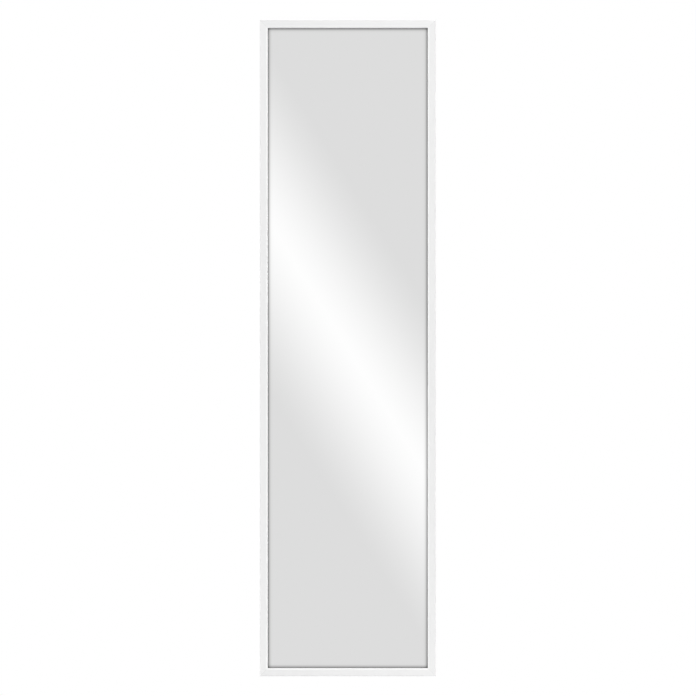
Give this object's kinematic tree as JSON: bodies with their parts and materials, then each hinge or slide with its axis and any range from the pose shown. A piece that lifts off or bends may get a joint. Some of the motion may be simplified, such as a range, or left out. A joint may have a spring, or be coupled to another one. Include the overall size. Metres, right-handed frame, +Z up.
{
  "type": "over the door mirror",
  "caption": "Tall flat mirror in a plain white mitred frame, with slotted steel hooks on its back that slide up and hang it over a door's top edge.",
  "frame": {"origin": "on the door's top edge, midway between the hooks, in the plane of the door's front face", "axes": "+X to the right as one faces the mirror, +Y back through the door, +Z up; the mirror faces -Y"},
  "size_m": [0.335, 0.0715, 1.25],
  "materials": {
    "white_moulding": "satin white polystyrene moulding",
    "mirror": "flat silvered glass",
    "mirror_paint": "silvering with its dark grey backing paint",
    "card": "plain brown card",
    "hardboard": "brown hardboard with its rough mesh face out",
    "galvanised_steel": "bright galvanised strip",
    "white_steel": "white powder coat",
    "zinc_steel": "bright zinc plate",
    "foam": "dark grey closed-cell foam"
  },
  "bodies": {
    "frame": {"top_rail": "white_moulding", "bottom_rail": "white_moulding", "left_stile": "white_moulding", "right_stile": "white_moulding", "corner_v_nails": "galvanised_steel", "mirror_glass": "mirror", "silver_coating": "mirror_paint", "interleaf_card": "card", "backing_board": "hardboard", "backing_points": "galvanised_steel", "left_hook_screws": "zinc_steel", "right_hook_screws": "zinc_steel", "left_hook_washers": "zinc_steel", "right_hook_washers": "zinc_steel", "upper_left_bumper": "foam", "upper_right_bumper": "foam", "lower_left_bumper": "foam", "lower_right_bumper": "foam"},
    "left_hook": {"left_hook": "white_steel", "left_hook_top_pad": "foam", "left_hook_lip_pad": "foam"},
    "right_hook": {"right_hook": "white_steel", "right_hook_top_pad": "foam", "right_hook_lip_pad": "foam"}
  },
  "joints": [
    {"name": "left_hook_slide", "type": "slide", "parent": "frame", "child": "left_hook", "axis": [0, 0, 1], "range_m": [0, 0.06]},
    {"name": "right_hook_slide", "type": "slide", "parent": "frame", "child": "right_hook", "axis": [0, 0, 1], "range_m": [0, 0.06]}
  ]
}
